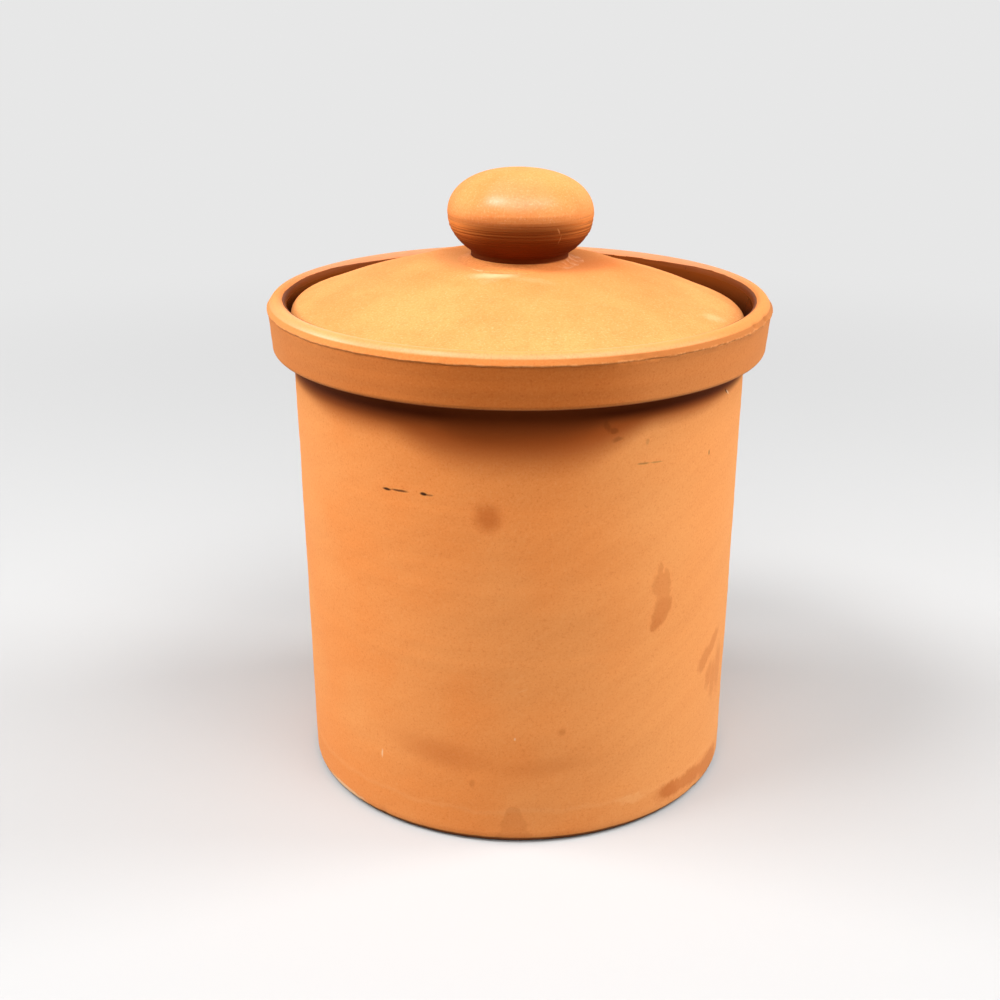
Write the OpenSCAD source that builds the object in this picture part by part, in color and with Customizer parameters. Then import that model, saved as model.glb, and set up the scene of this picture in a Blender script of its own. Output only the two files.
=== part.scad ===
// Terracotta biscuit canister: a nearly straight-sided pot with a heavy collar, glazed inside,
// and a low conical lid with a bun-shaped knob that sits on a soft seal.
// Millimetres, +Z up. The origin is the centre of the base, on the surface it stands on.

/* [Jar] */
// Outside diameter of the body under the collar
body_d = 152.6; // [130:0.2:190]
// How far the wall leans in from the collar down to the foot
body_taper = 1.5; // [0:0.1:4]
// Height of the jar from the table to the top of the rim
jar_h = 168.9; // [120:0.1:220]
// Thickness of the clay wall
wall_t = 6; // [4.5:0.1:7]
// Thickness of the clay floor
floor_t = 7; // [5:0.5:10]
// Rounding inside, between the wall and the floor
floor_r = 9; // [5:0.5:14]
// Bevel round the foot of the wall
foot_bevel = 1.8; // [0.6:0.2:3]
// Width of the flat ring that the jar stands on
foot_ring_w = 22; // [14:1:30]
// Depth of the hollow turned under the floor
foot_hollow = 1.6; // [0.6:0.2:3]

/* [Collar] */
// How far the collar stands out from the body
collar_out = 7.9; // [6:0.1:10]
// Height of the collar with its lip
collar_h = 17.5; // [13:0.1:20]
// How far the collar leans in from its top to its lower edge
collar_lean = 1; // [0:0.1:1.6]
// Rounding of the collar's lower edge
collar_edge_r = 1.8; // [1:0.1:3.4]
// Rounding in the corner between the collar's underside and the body
collar_cove_r = 2; // [1:0.1:2.6]
// How far the lip's lower edge stands out from the collar
lip_out = 0.4; // [0.2:0.1:1.2]
// Height of the lip up to the rim's crest
lip_h = 3.7; // [2.9:0.1:4.3]
// Height of the step from the collar out to the lip
lip_step_h = 0.4; // [0.2:0.1:0.8]
// How far the lip slopes in from its lower edge to its top
lip_slope_in = 1.1; // [0.5:0.1:1.4]
// How far the rounded rim falls from its crest to its two edges
rim_fall = 1.5; // [1:0.1:1.5]
// Width of the rim from the lid recess to the outside of the lip
rim_w = 6.1; // [5:0.1:7]
// Depth of the recess that the lid drops into
recess_h = 12.1; // [9:0.1:14]
// Rounding in the corner of the recess
recess_corner_r = 1.4; // [0.8:0.1:2]
// Rounding where the recess turns down into the bore
mouth_edge_r = 1; // [0.5:0.1:1.4]

/* [Glaze] */
// Thickness of the glaze inside the jar
glaze_t = 0.4; // [0.3:0.05:0.6]
// How far below the rim the glaze stops
glaze_stop = 1.6; // [1.6:0.1:3]

/* [Lid] */
// Gap round the lid's edge, to the glazed recess
lid_gap = 1.7; // [1:0.1:3]
// Height of the straight side of the lid, under its rounded edge
lid_side_h = 2.8; // [1.5:0.1:4]
// Rounding of the lid's upper edge
lid_edge_r = 4; // [2:0.1:6]
// Rounding of the lid's lower edge
lid_lower_r = 0.8; // [0.4:0.1:1.2]
// Slope of the lid's cone in degrees
lid_slope = 18.5; // [14:0.5:24]
// Diameter at which the cone turns into the flat boss under the knob
lid_boss_d = 61; // [58:0.5:68]
// Rounding between the cone and the boss
lid_boss_r = 24; // [10:1:30]
// Thickness of the lid's cone and boss
lid_t = 5.8; // [4.5:0.1:7]
// Depth of the ring under the lid that carries the seal
spigot_h = 13; // [11.5:0.2:16]
// Thickness of that ring
spigot_t = 5; // [4:0.1:6]
// Height of the bead at the foot of the ring, which keeps the seal on
bead_h = 2; // [1.4:0.1:2.6]
// How far the bead stands out
bead_out = 0.8; // [0.4:0.1:1]

/* [Knob] */
// Widest diameter of the knob
knob_d = 48.7; // [42:0.1:56]
// Height of the knob from its foot to its crown
knob_h = 29.3; // [24:0.1:34]
// Height of the crown above the widest line
knob_crown_h = 14.7; // [12:0.1:17]
// Fullness of the crown, where 2 is a plain oval
knob_fullness = 2.25; // [2:0.05:3]
// Diameter of the knob's neck
neck_d = 32.6; // [28:0.1:36]
// Height of the straight neck
neck_h = 2.5; // [1:0.1:3]

/* [Slip] */
// Thickness of the slip under the knob
slip_t = 0.6; // [0.4:0.1:1]
// Width of the slip squeezed out round the neck
slip_bead_w = 3.2; // [2:0.1:4]
// Height of the squeezed-out slip above the lid
slip_bead_h = 1.6; // [1.2:0.1:2.2]

/* [Seal] */
// Thickness of the flange between the lid and the ledge
seal_flange_t = 1.2; // [0.8:0.1:1.8]
// How far the flange stays back from the lid's edge
seal_inset = 1.6; // [1.2:0.1:2.4]
// Thickness of the sleeve on the lid's ring
seal_sleeve_t = 1.2; // [0.9:0.1:1.6]
// How far the fins stand out from the sleeve
seal_fin_out = 3; // [2:0.1:4]
// Number of fins
seal_fins = 3; // [2:1:3]
// Thickness of a fin at its root
seal_fin_root = 1; // [0.8:0.1:1.2]
// Thickness of a fin at its tip
seal_fin_tip = 0.6; // [0.4:0.1:0.8]
// How far a fin sweeps up from root to tip
seal_fin_rise = 0.8; // [0.4:0.1:1]

/* [Clearances] */
// Between the seal's fins and the glazed bore
fin_gap = 0.3; // [0.1:0.05:0.4]
// Between the seal's sleeve and the lid's ring
sleeve_gap = 0.15; // [0.1:0.05:0.3]
// Between the seal's sleeve and the bead that keeps it on
bead_gap = 0.4; // [0.2:0.1:0.8]
// Between the slip's bead and the knob's neck
neck_gap = 0.05; // [0.02:0.01:0.1]

/* [Hidden] */

$fn = 96;
arc_steps = 8;
crown_steps = 16;

terracotta = [0.84, 0.53, 0.31];
lid_terracotta = [0.87, 0.57, 0.34];
slip_clay = [0.80, 0.50, 0.30];
brown_glaze = [0.30, 0.13, 0.05];
pale_seal = [0.86, 0.83, 0.76];

// The jar, from the foot up
body_r = body_d / 2;
body_foot_r = body_r - body_taper;
foot_r = body_foot_r - foot_bevel;
hollow_r = foot_r - foot_ring_w;
bore_r = body_r - wall_t;
bore_foot_r = body_foot_r - wall_t;
collar_z = jar_h - collar_h;
collar_r = body_r + collar_out;
lip_z = jar_h - lip_h;
lip_r = collar_r + lip_out;
lip_top_r = lip_r - lip_slope_in;
recess_r = lip_r - rim_w;
recess_z = jar_h - recess_h;
glaze_top = jar_h - glaze_stop;

// The rim's top is part of a circle, from the top of the lip over to the recess
rim_mid_r = (lip_top_r + recess_r) / 2;
rim_half_w = (lip_top_r - recess_r) / 2;
rim_round_r = (pow(rim_half_w, 2) + pow(rim_fall, 2)) / (2 * rim_fall);
rim_turn = asin(rim_half_w / rim_round_r);

// The lid rests on the seal's flange, which lies on the glazed ledge
ledge_z = recess_z + glaze_t;
seat_z = ledge_z + seal_flange_t;
lid_r = recess_r - glaze_t - lid_gap;
lid_edge_z = seat_z + lid_side_h;
cone_r = lid_r - lid_edge_r + lid_edge_r * sin(lid_slope);
cone_z = lid_edge_z + lid_edge_r * cos(lid_slope);
boss_r = lid_boss_d / 2;
boss_z = cone_z + (cone_r - boss_r) * tan(lid_slope);
boss_flat_r = boss_r - lid_boss_r * tan(lid_slope / 2);

// The seal fills the space between the lid's ring and the bore
fin_r = bore_r - glaze_t - fin_gap;
sleeve_outer_r = fin_r - seal_fin_out;
sleeve_inner_r = sleeve_outer_r - seal_sleeve_t;
spigot_r = sleeve_inner_r - sleeve_gap;
spigot_inner_r = spigot_r - spigot_t;
spigot_z = seat_z - spigot_h;
sleeve_z = spigot_z + bead_h + bead_gap;
fin_pitch = (ledge_z - mouth_edge_r - seal_fin_rise - sleeve_z) / seal_fins;

// The cone's underside, where it meets the inside of the lid's ring
under_boss_z = boss_z - lid_t;
under_boss_r = boss_r - lid_t * tan(lid_slope / 2);
under_ring_z = under_boss_z - (spigot_inner_r - under_boss_r) * tan(lid_slope);

// The knob stands on the slip
neck_r = neck_d / 2;
knob_r = knob_d / 2;
knob_foot_z = boss_z + slip_t;
knob_wide_z = knob_foot_z + knob_h - knob_crown_h;
neck_top_z = knob_foot_z + neck_h;
knob_under_turn = acos(neck_r / knob_r);
knob_under_h = (knob_wide_z - neck_top_z) / sin(knob_under_turn);

function arc(r, z, radius, from, to) = [
    for (step = [0 : arc_steps])
        let (turn = from + (to - from) * step / arc_steps)
            [r + radius * cos(turn), z + radius * sin(turn)]
];

function reversed(points) = [for (i = [len(points) - 1 : -1 : 0]) points[i]];

// The jar's inside from the middle of the floor up to a height, drawn a coat's thickness into the hollow
function inside_line(coat, top) = concat(
    [[0, floor_t + coat]],
    arc(bore_foot_r - floor_r, floor_t + floor_r, floor_r - coat, -90, 0),
    arc(bore_r + mouth_edge_r, recess_z - mouth_edge_r, mouth_edge_r + coat, 180, 90),
    arc(recess_r - recess_corner_r, recess_z + recess_corner_r, recess_corner_r - coat, -90, 0),
    [[recess_r - coat, top]]
);

// The foot, the wall, the collar, the lip and the rim, from the middle of the base over to the recess
function outside_line() = concat(
    [[0, foot_hollow], [hollow_r - foot_hollow, foot_hollow], [hollow_r, 0]],
    [[foot_r, 0], [body_foot_r, foot_bevel]],
    arc(body_r + collar_cove_r, collar_z - collar_cove_r, collar_cove_r, 180, 90),
    arc(collar_r - collar_lean - collar_edge_r, collar_z + collar_edge_r, collar_edge_r, -90, 0),
    [[collar_r, lip_z - lip_step_h], [lip_r, lip_z]],
    arc(rim_mid_r, jar_h - rim_round_r, rim_round_r, 90 - rim_turn, 90 + rim_turn)
);

module jar_body() {
    color(terracotta)
        rotate_extrude()
            polygon(concat(outside_line(), reversed(inside_line(0, glaze_top))));
}

module inner_glaze() {
    color(brown_glaze)
        rotate_extrude()
            polygon(concat(inside_line(0, glaze_top), reversed(inside_line(glaze_t, glaze_top))));
}

module lid() {
    top_line = concat(
        [[0, boss_z]],
        arc(boss_flat_r, boss_z - lid_boss_r, lid_boss_r, 90, 90 - lid_slope),
        arc(lid_r - lid_edge_r, lid_edge_z, lid_edge_r, 90 - lid_slope, 0),
        arc(lid_r - lid_lower_r, seat_z + lid_lower_r, lid_lower_r, 0, -90)
    );
    ring_line = [
        [spigot_r, seat_z],
        [spigot_r, spigot_z + bead_h],
        [spigot_r + bead_out, spigot_z + bead_h - bead_out],
        [spigot_r + bead_out, spigot_z + bead_out],
        [spigot_r, spigot_z],
        [spigot_inner_r, spigot_z],
        [spigot_inner_r, under_ring_z]
    ];
    under_line = arc(boss_flat_r, boss_z - lid_boss_r, lid_boss_r - lid_t, 90 - lid_slope, 90);
    color(lid_terracotta)
        rotate_extrude()
            polygon(concat(top_line, ring_line, under_line, [[0, under_boss_z]]));
}

// A bun: a full crown over an oval underside that ends at a short neck
module knob() {
    crown_line = [
        for (step = [0 : crown_steps])
            let (turn = 90 * step / crown_steps)
                [
                    knob_r * pow(cos(turn), 2 / knob_fullness),
                    knob_wide_z + knob_crown_h * pow(sin(turn), 2 / knob_fullness)
                ]
    ];
    under_line = [
        for (step = [crown_steps : -1 : 1])
            let (turn = knob_under_turn * step / crown_steps)
                [knob_r * cos(turn), knob_wide_z - knob_under_h * sin(turn)]
    ];
    color(lid_terracotta)
        rotate_extrude()
            polygon(concat([[0, knob_foot_z], [neck_r, knob_foot_z]], under_line, crown_line));
}

// A thin layer under the knob that swells into a bead where it was squeezed out
module luting_slip() {
    bead_mid_r = neck_r + neck_gap + slip_bead_w / 2;
    bead_line = [
        for (step = [0 : arc_steps])
            let (turn = 180 * step / arc_steps)
                [
                    bead_mid_r + slip_bead_w / 2 * cos(turn),
                    knob_foot_z + (slip_bead_h - slip_t) * sin(turn)
                ]
    ];
    color(slip_clay)
        rotate_extrude()
            polygon(concat([[0, boss_z], [bead_mid_r + slip_bead_w / 2, boss_z]], bead_line, [[0, knob_foot_z]]));
}

// A flange, a sleeve and swept fins in one soft moulding
module seal_ring() {
    flange_r = lid_r - seal_inset;
    fin_line = [
        for (fin = [seal_fins - 1 : -1 : 0])
            let (root_z = sleeve_z + fin * fin_pitch)
                each [
                    [sleeve_outer_r, root_z + seal_fin_root],
                    [fin_r, root_z + seal_fin_root + seal_fin_rise],
                    [fin_r, root_z + seal_fin_root + seal_fin_rise - seal_fin_tip],
                    [sleeve_outer_r, root_z]
                ]
    ];
    color(pale_seal)
        rotate_extrude()
            polygon(concat(
                [[sleeve_inner_r, seat_z], [flange_r, seat_z], [flange_r, ledge_z], [sleeve_outer_r, ledge_z]],
                fin_line,
                [[sleeve_inner_r, sleeve_z]]
            ));
}

jar_body();
inner_glaze();
seal_ring();
lid();
knob();
luting_slip();
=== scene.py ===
"""Looks of the terracotta biscuit canister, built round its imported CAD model.

Each piece is a turned mesh on the CAD model's sizes, with the small faults of hand-finished clay:
a ragged seam under the lip, chips, turning lines and squeezed-out slip. Lengths are in millimetres
until a mesh is made. Turns in the lists are in degrees from the front, positive to the viewer's right.
"""

import math

import bpy
import numpy as np
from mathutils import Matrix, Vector


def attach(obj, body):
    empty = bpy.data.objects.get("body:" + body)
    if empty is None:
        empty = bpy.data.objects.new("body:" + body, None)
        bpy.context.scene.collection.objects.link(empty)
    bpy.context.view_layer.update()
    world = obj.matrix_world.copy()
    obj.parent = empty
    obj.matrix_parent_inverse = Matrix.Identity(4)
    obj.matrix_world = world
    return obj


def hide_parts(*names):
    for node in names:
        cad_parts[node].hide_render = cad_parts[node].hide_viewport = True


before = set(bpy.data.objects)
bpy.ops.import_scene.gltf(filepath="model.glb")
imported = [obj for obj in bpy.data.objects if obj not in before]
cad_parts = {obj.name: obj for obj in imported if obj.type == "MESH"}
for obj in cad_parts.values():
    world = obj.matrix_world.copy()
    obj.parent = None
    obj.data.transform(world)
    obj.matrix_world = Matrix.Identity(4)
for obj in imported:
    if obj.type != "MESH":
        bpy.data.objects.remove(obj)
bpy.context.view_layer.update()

MM = 0.001
SEGMENTS, KNOB_SEGMENTS, SEAL_SEGMENTS = 420, 320, 360

# Jar
BODY_R, BODY_FOOT_R, BORE_R, BORE_FOOT_R = 76.3, 74.8, 70.3, 68.8
COLLAR_R, LIP_R, LIP_TOP_R, RECESS_R = 84.2, 84.6, 83.5, 78.5
LIP_Z, RECESS_Z, COLLAR_Z, FLOOR_Z = 165.2, 156.8, 151.4, 7.0
COLLAR_LEAN, COLLAR_EDGE_R, COVE_R = 1.0, 1.8, 2.0
# The rim's start, and its three arcs: radius, then the angles that each runs through
RIM_FOOT, RIM_ARCS = (83.72, 167.0), [(5.0, 28, 48), (2.2, 48, 90), (3.03, 90, 152)]
FOOT_R, BEVEL_Z, HOLLOW_R, HOLLOW_H = 73.0, 2.3, 51.0, 1.6
FLOOR_CORNER_R, MOUTH_R, RECESS_CORNER_R = 9.0, 1.0, 1.4
# Behind the glaze the clay's face is sunk, so that the two never share a face
GLAZE_T, GLAZE_TOP, GLAZE_EDGE_R, GLAZE_SUNK = 0.4, 167.3, 79.3, 0.1
# The glaze's thin edge: how far it reaches below the rim's slope and above it, and the bulge of its lip
GLAZE_EDGE_BELOW, GLAZE_EDGE_ABOVE, GLAZE_EDGE_LIP = 0.05, 0.09, 0.02
# How far that edge falls at the sides, and further at the back
GLAZE_FALL_SIDES, GLAZE_FALL_BACK = 0.2, 0.72
# How much of the seam's tear the left has, and how far the collar comes out under the lip on the right
TORN_LEFT, SEAM_FLUSH = 0.6, 0.25
# Lid
LID_R, SEAT_Z, LID_EDGE_Z, LID_EDGE_R, LID_FOOT_R = 76.4, 158.4, 161.2, 4.0, 0.8
LID_SLOPE, BOSS_R, BOSS_ROUND, BOSS_Z, LID_T = 18.5, 30.5, 24.0, 179.47, 5.8
RING_R, RING_INNER_R, RING_Z, RING_BEVEL, RING_FILLET = 65.25, 60.25, 145.4, 0.4, 0.2
# The bead that keeps the seal on: how far it stands out, and heights on it
BEAD_OUT, BEAD_LOW, BEAD_HIGH, BEAD_TOP = 0.8, 0.8, 1.2, 2.0
# The cone swells between its edge and the boss: how much, at which radius and how widely
SWELL_H, SWELL_R, SWELL_WIDTH = 0.9, 58, 12
# Knob and slip
NECK_R, KNOB_R, KNOB_FOOT_Z, NECK_TOP_Z = 16.3, 24.35, 180.07, 182.57
KNOB_WIDE_Z, CROWN_H, CROWN_FULLNESS, TRIM_DEPTH = 194.67, 14.7, 2.25, 0.12
UNDER_POINTS, CROWN_POINTS = 60, 70
SLIP_OUTER_R, SLIP_GAP, SLIP_LEDGE, SLIP_RISE, SLIP_HOLLOW = 20.4, 0.05, 0.05, 0.9, 2.6
# The slip's edge and its underside there are sunk in the lid
SLIP_EDGE_SUNK, SLIP_UNDER_SUNK = 0.05, 0.08
# How rough the slip stays where it was wiped, and how far its lumps and its edge stand out on the right
SLIP_WIPED, SLIP_LIFT, SLIP_BULGE = 0.12, 0.12, 0.6
# The film that the slip is wiped out into: reach, height, and the turn of its middle in radians
FILM_REACH, FILM_H, FILM_TURN = 5.4, 0.65, -0.32
# Seal
SLEEVE_R, SLEEVE_OUTER_R, SLEEVE_Z = 65.4, 66.6, 147.8
FLANGE_R, LEDGE_Z, FLANGE_FILLET, FLANGE_SOFT = 74.8, 157.2, 0.4, 0.3
FIN_R, FIN_PITCH, FINS, FIN_ROOT, FIN_TIP, FIN_RISE = 69.6, 2.533, 3, 1.0, 0.6, 0.8
# A fin's fillets at its root, and its softened tip
FIN_START, FIN_NECK, FIN_FILLET, FIN_END = 0.05, 0.5, 0.22, 0.25
FIN_SOFT_R, FIN_SOFT_Z, FIN_DROP = 0.2, 0.15, 0.02

# The lid sits askew in the photo, as it does on a soft seal: right side low, and a little to the left
LID_LEAN = 1.7 / LID_R
LID_SHIFT = -0.4

# Random waves: size, seed, how many, the most of them round the axis, and the shortest along the outline
OUT_OF_ROUND, WHEEL_LINES = (0.12, 3, 10, 3, 22.0), (0.05, 4, 8, 0, 5.0)
SEAM_TEETH, SEAM_SWELLS, SEAM_RISE = (0.08, 5, 40, 170, 6.0), (0.08, 6, 16, 40, 9.0), (0.22, 7, 30, 110, 9.0)
FOOT_WEAR = (0.15, 8, 30, 120, 9.0)
GLAZE_RUNS, GLAZE_NICKS = (0.2, 11, 14, 14, 9.0), (0.1, 12, 24, 70, 9.0)
LID_SWELLS, LID_LINES = (0.05, 21, 10, 4, 26.0), (0.025, 22, 8, 0, 4.0)
KNOB_LINES, KNOB_CHATTER = (0.07, 31, 14, 0, 0.9), (0.056, 32, 14, 3, 1.2)
KNOB_SWELLS = (0.08, 33, 8, 3, 24.0)
SLIP_LUMPS, SLIP_CRUMBS = (0.132, 41, 18, 14, 5.0), (0.077, 42, 30, 60, 2.0)
SLIP_RUNS, SLIP_RAGS = (0.5, 43, 10, 6, 5.0), (0.6, 44, 20, 30, 5.0)


# Outlines and shaping

def arc(r, z, radius, start, end, steps):
    turns = np.radians(np.linspace(start, end, steps + 1))
    return [(r + radius * math.cos(t), z + radius * math.sin(t)) for t in turns]


def run_on(point, arcs):
    """Arcs that run on from a point, each with its radius, start and end."""
    points = [point]
    for radius, start, end in arcs:
        t = math.radians(start)
        r, z = points[-1][0] - radius * math.cos(t), points[-1][1] - radius * math.sin(t)
        points += arc(r, z, radius, start, end, steps=8)[1:]
    return points


def fine(points, step):
    """The same line with points no further apart than step."""
    made = [points[0]]
    for a, b in zip(points, points[1:]):
        count = max(1, math.ceil(math.dist(a, b) / step))
        made += [tuple(np.add(a, np.subtract(b, a) * i / count)) for i in range(1, count + 1)]
    return made


def joined(*lines):
    """Lines end to end, without repeated points."""
    points = [p for line in lines for p in line]
    return np.array([p for i, p in enumerate(points) if i == 0 or math.dist(p, points[i - 1]) > 1e-6])


def between(value, low, high):
    """0 at low, 1 at high, with a soft step."""
    t = np.clip((value - low) / (high - low), 0, 1)
    return t * t * (3 - 2 * t)


def hump(value, middle, width):
    """1 in the middle, falling off softly on both sides."""
    return np.exp(-((value - middle) / width) ** 2)


def waves(turn, along, kind):
    """Seamless random waves, round the axis and along the outline."""
    size, seed, count, most_round, shortest = kind
    draw = np.random.default_rng(seed)
    total = 0
    for _ in range(count):
        round_it = draw.integers(-most_round, most_round + 1)
        along_it = draw.uniform(-1, 1) * math.tau / shortest
        total = total + np.cos(round_it * turn + along_it * along + draw.uniform(0, math.tau))
    return size * total / math.sqrt(2 * count)


def turned(outline, segments=SEGMENTS):
    """Radius, height and turn of each point of an outline turned about the axis."""
    turn = np.linspace(0, math.tau, segments, endpoint=False)[None, :]
    flat = np.ones_like(turn)
    return outline[:, :1] * flat, outline[:, 1:] * flat, turn + 0 * outline[:, :1]


def to_points(r, z, turn):
    return np.stack([r * np.sin(turn), -r * np.cos(turn), z], axis=-1)


def chip(points, chips, drop=0.6):
    """Dents points in towards the axis and down, at each (turn, radius, height, size, depth)."""
    for turn, radius, height, size, depth in chips:
        t = math.radians(turn)
        centre = np.array([radius * math.sin(t), -radius * math.cos(t), height])
        share = between(np.linalg.norm(points - centre, axis=-1), size, 0)[..., None]
        inward = np.array([-math.sin(t), math.cos(t), -drop])
        points = points + share * depth * inward
    return points


def askew(points):
    """Leans and shifts what lies above the lid's seat."""
    x, y, z = np.moveaxis(points, -1, 0)
    share = between(z, SEAT_Z, LID_EDGE_Z)
    moved_x = x + share * (LID_SHIFT + LID_LEAN * (z - SEAT_Z))
    return np.stack([moved_x, y, z - share * LID_LEAN * x], axis=-1)


def make(name, points, material, body, ring=False):
    """A closed mesh from rows of points, on its body and in its slot.

    The first and last rows lie on the axis and become one vertex each. A ring's last row meets its first.
    """
    rows, count = points.shape[:2]
    if ring:
        places = points.reshape(-1, 3)
        index = np.arange(rows * count).reshape(rows, count)
        lower, upper = index, np.roll(index, -1, 0)
    else:
        poles = [points[0].mean(0), points[-1].mean(0)]
        places = np.concatenate([points[1:-1].reshape(-1, 3), poles])
        index = np.arange((rows - 2) * count).reshape(rows - 2, count)
        lower, upper = index[:-1], index[1:]
    corners = [lower, np.roll(lower, -1, 1), np.roll(upper, -1, 1), upper]
    faces = np.stack(corners, axis=-1).reshape(-1, 4).tolist()
    if not ring:
        first, last = len(places) - 2, len(places) - 1
        faces += [(first, b, a) for a, b in zip(index[0], np.roll(index[0], -1))]
        faces += [(last, a, b) for a, b in zip(index[-1], np.roll(index[-1], -1))]
    mesh = bpy.data.meshes.new(name)
    mesh.from_pydata((places * MM).tolist(), [], faces)
    mesh.polygons.foreach_set("use_smooth", np.ones(len(faces), bool))
    mesh.materials.append(material)
    mesh.update()
    piece = bpy.data.objects.new(name, mesh)
    bpy.context.scene.collection.objects.link(piece)
    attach(piece, body)
    return piece


# Materials

# Where a Mix node keeps its factor, its two colours and its result
MIX_INPUTS, MIX_RESULT = (0, 6, 7), 2
# How fine the wobble of a mark's edge is, and how softly its ovals run together
MARK_WOBBLE, MARK_DETAIL, MARK_MELT = 0.45, 3.0, 0.3


class Paint:
    """One material's nodes. Places and lengths in it are in millimetres, in the CAD frame."""

    def __init__(self, name, **constants):
        self.material = bpy.data.materials.new(name)
        self.material.use_nodes = True
        self.tree = self.material.node_tree
        self.shader = self.tree.nodes["Principled BSDF"]
        for socket, value in constants.items():
            self.shader.inputs[socket.replace("_", " ")].default_value = value
        metres = self.add("ShaderNodeTexCoord").outputs["Object"]
        self.place = self.vector("SCALE", metres, scale=1 / MM)
        split = self.add("ShaderNodeSeparateXYZ", self.place).outputs
        self.x, self.y, self.z = split["X"], split["Y"], split["Z"]
        self.turn = self.math("ARCTAN2", self.x, self.math("MULTIPLY", self.y, -1.0))
        squares = [self.math("POWER", side, 2.0) for side in (self.x, self.y)]
        self.radius = self.math("SQRT", self.math("ADD", *squares))

    def add(self, kind, *values, **settings):
        """A node with its first inputs set or linked."""
        node = self.tree.nodes.new(kind)
        for key, value in settings.items():
            setattr(node, key, value)
        for socket, value in zip(node.inputs, values):
            self.put(value, socket)
        return node

    def put(self, value, socket):
        if isinstance(value, bpy.types.NodeSocket):
            self.tree.links.new(value, socket)
        elif value is not None:
            socket.default_value = value

    def math(self, operation, a, b=None, c=None, clamp=False):
        return self.add("ShaderNodeMath", a, b, c, operation=operation, use_clamp=clamp).outputs[0]

    def both(self, *shares):
        """The product of shares."""
        total = shares[0]
        for share in shares[1:]:
            total = self.math("MULTIPLY", total, share)
        return total

    def raised(self, base, share, by):
        """The base where the share is 0, and that much more where it is 1."""
        return self.math("MULTIPLY_ADD", share, by, base)

    def vector(self, operation, a, b=None, c=None, scale=None):
        node = self.add("ShaderNodeVectorMath", a, b, c, operation=operation)
        if scale is not None:
            self.put(scale, node.inputs["Scale"])
        return node.outputs["Value" if operation in ("LENGTH", "DOT_PRODUCT") else "Vector"]

    def towards(self, side):
        """1 where the canister faces that side, 0 square to it and -1 on the far side."""
        return self.math("DIVIDE", self.vector("DOT_PRODUCT", self.place, side), self.radius)

    def between(self, value, low, high):
        """0 at low, 1 at high, with a soft step."""
        node = self.add("ShaderNodeMapRange", value, low, high, interpolation_type="SMOOTHSTEP")
        return node.outputs[0]

    def noise(self, size, detail=3.0, rough=0.55, where=None):
        """Noise of about 0 to 1 with lumps of that size."""
        node = self.add("ShaderNodeTexNoise", where or self.place)
        node.inputs["Scale"].default_value = 1 / size
        node.inputs["Detail"].default_value = detail
        node.inputs["Roughness"].default_value = rough
        return node.outputs["Fac"]

    def mix(self, share, a, b, blend="MIX"):
        node = self.add("ShaderNodeMix", data_type="RGBA", blend_type=blend)
        for place, value in zip(MIX_INPUTS, (share, a, b)):
            self.put((*value, 1.0) if isinstance(value, tuple) else value, node.inputs[place])
        return node.outputs[MIX_RESULT]

    def over(self, colour, tone, *shares, strength=1.0, blend="MIX"):
        """The colour with a tone laid over it, by the product of the shares and the strength."""
        if strength != 1.0:
            shares = (*shares, strength)
        return self.mix(self.both(*shares), colour, tone, blend)

    def stretched(self, across, up, lean=0.0):
        """Places scaled across the axis and up it, for streaks that run level or rise to the right."""
        level = self.math("SUBTRACT", self.z, self.math("MULTIPLY", self.x, lean))
        flat = self.vector("MULTIPLY", self.place, (across, across, 0.0))
        rise = self.add("ShaderNodeCombineXYZ", 0.0, 0.0, self.math("MULTIPLY", level, up))
        return self.vector("ADD", flat, rise.outputs[0])

    def unrolled(self, radius):
        """Places on a turned face of that radius, in millimetres round it and up it."""
        round_it = self.math("MULTIPLY", self.turn, radius)
        return self.add("ShaderNodeCombineXYZ", round_it, self.z, 0.0).outputs[0]

    def marks(self, colour, flat, marks, across=1.0):
        """Paints marks on flat places. Each is one or more ovals run together, with ragged edges."""
        wobble = self.add("ShaderNodeTexNoise", self.place)
        wobble.inputs["Scale"].default_value = MARK_WOBBLE
        wobble.inputs["Detail"].default_value = MARK_DETAIL
        centred = self.vector("SUBTRACT", wobble.outputs["Color"], (0.5, 0.5, 0.5))
        for tone, strength, edge, ragged, ovals in marks:
            torn = self.vector("MULTIPLY_ADD", centred, (ragged, ragged, 0.0), flat)
            nearest = None
            for x, y, half_w, half_h, tilt in ovals:
                oval = self.add("ShaderNodeMapping", torn, vector_type="TEXTURE")
                oval.inputs["Location"].default_value = (x * across, y, 0)
                oval.inputs["Rotation"].default_value = (0, 0, math.radians(tilt))
                oval.inputs["Scale"].default_value = (half_w, half_h, 1)
                reach = self.vector("LENGTH", oval.outputs[0])
                nearest = self.math("SMOOTH_MIN", nearest, reach, MARK_MELT) if nearest else reach
            share = self.between(nearest, 1 + edge / 2, 1 - edge / 2)
            colour = self.over(colour, tone, share, strength=strength)
        return colour

    def finish(self, colour, roughness, relief, coat=0.0):
        """Colour, roughness, a relief in millimetres and the share of a rubbed, smooth skin."""
        self.put(colour, self.shader.inputs["Base Color"])
        self.put(coat, self.shader.inputs["Coat Weight"])
        self.put(roughness, self.shader.inputs["Roughness"])
        bump = self.add("ShaderNodeBump")
        bump.inputs["Distance"].default_value = MM
        self.put(relief, bump.inputs["Height"])
        self.put(bump.outputs[0], self.shader.inputs["Normal"])
        return self.material


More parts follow.
